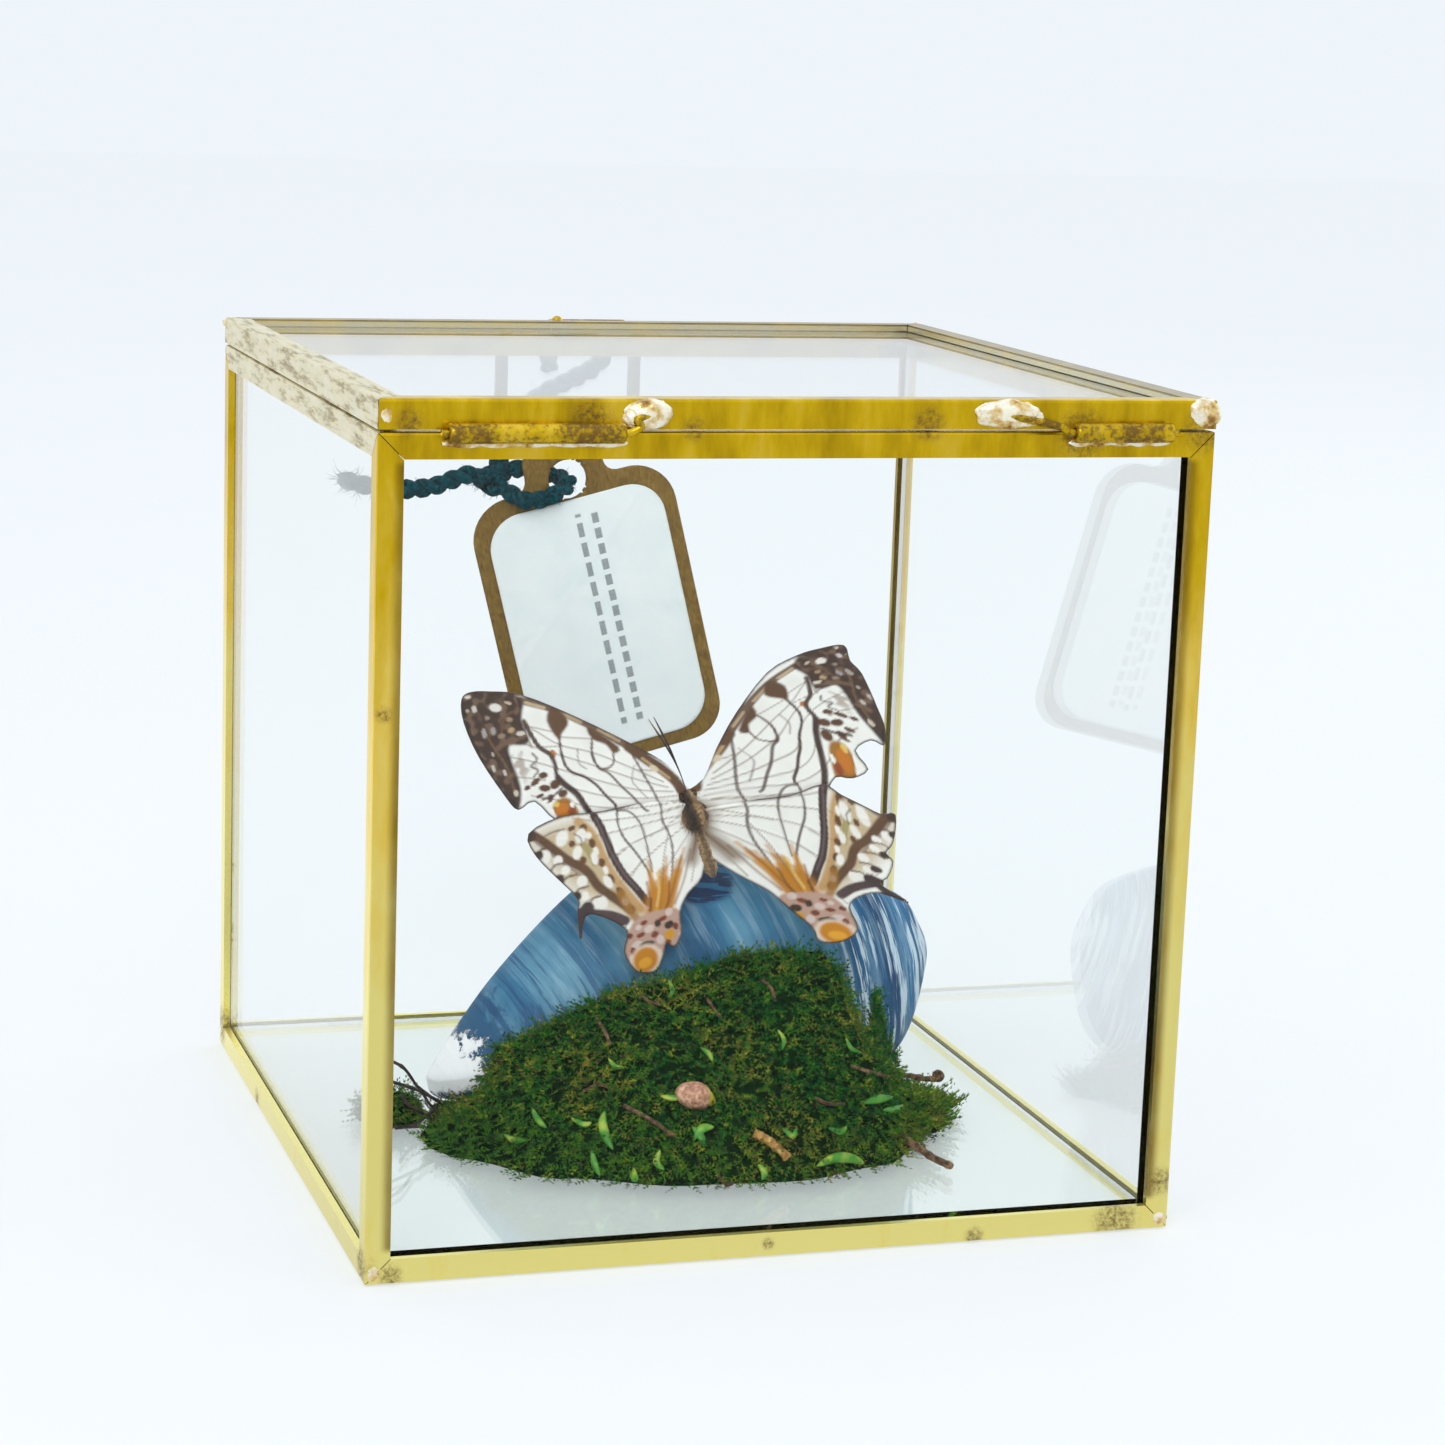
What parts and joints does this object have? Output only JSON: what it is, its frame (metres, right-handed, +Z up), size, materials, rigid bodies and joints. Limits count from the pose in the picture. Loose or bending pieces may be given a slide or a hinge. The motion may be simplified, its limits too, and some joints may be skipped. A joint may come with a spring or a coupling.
{
  "type": "glass display box with a butterfly on a mussel shell",
  "caption": "Clear glass box in a brass frame with a hinged lid and catch, holding a butterfly perched on a mussel valve in moss; a card tag hangs outside.",
  "frame": {"origin": "centre of the footprint, on the surface the box stands on", "axes": "+Z up, +X to the right and +Y away, seen from the hinge side; the catch side faces +Y"},
  "size_m": [0.1, 0.1078, 0.102],
  "materials": {
    "brass": "thin came with a light polish, olive and brown tarnish in the corners",
    "hinge_brass": "tarnished tube and wire with brown flux stains",
    "catch_brass": "tarnished strip and tube",
    "glass": "clear flat glass",
    "shell": "blue mussel valve with growth rings, pale at the beak, pearly inside",
    "moss": "dried green moss with leaflets and brown bits",
    "butterfly": "cream wings with dark lines and orange marks, brown hairy body",
    "seed_pod": "dry pinkish brown husk",
    "twig": "dry reddish brown twig",
    "yarn": "teal two-ply wool",
    "card": "brown kraft card",
    "label": "white paper glued to the card, with two rows of plain dashes"
  },
  "bodies": {
    "case": {"butterfly": "butterfly", "case_bottom_back": "brass", "case_bottom_front": "brass", "case_bottom_left": "brass", "case_bottom_right": "brass", "case_post_back_left": "brass", "case_post_back_right": "brass", "case_post_front_left": "brass", "case_post_front_right": "brass", "case_top_back": "brass", "case_top_front": "brass", "case_top_left": "brass", "case_top_right": "brass", "catch_stud": "catch_brass", "hinge_tube_left": "hinge_brass", "hinge_tube_right": "hinge_brass", "moss_clump": "moss", "moss_mound": "moss", "moss_tuft": "moss", "pane_back": "glass", "pane_bottom": "glass", "pane_front": "glass", "pane_left": "glass", "pane_right": "glass", "seed_pod": "seed_pod", "shell": "shell", "tag_card": "card", "tag_label": "label", "twig_front": "twig", "twig_side": "twig", "yarn_knot": "yarn", "yarn_ring": "yarn", "yarn_strand": "yarn", "yarn_tail": "yarn"},
    "lid": {"catch_tube": "catch_brass", "hinge_wire_left": "hinge_brass", "hinge_wire_right": "hinge_brass", "lid_back": "brass", "lid_front": "brass", "lid_left": "brass", "lid_right": "brass", "pane_lid": "glass"},
    "catch": {"catch_loop": "catch_brass"}
  },
  "joints": [
    {"name": "lid_hinge", "type": "hinge", "parent": "case", "child": "lid", "pos_m": [0, -0.05125, 0.0979], "axis": [1, 0, 0], "range_deg": [0, 110]},
    {"name": "catch_swing", "type": "hinge", "parent": "lid", "child": "catch", "pos_m": [0, 0.05125, 0.10045], "axis": [1, 0, 0], "range_deg": [0, 120]}
  ]
}
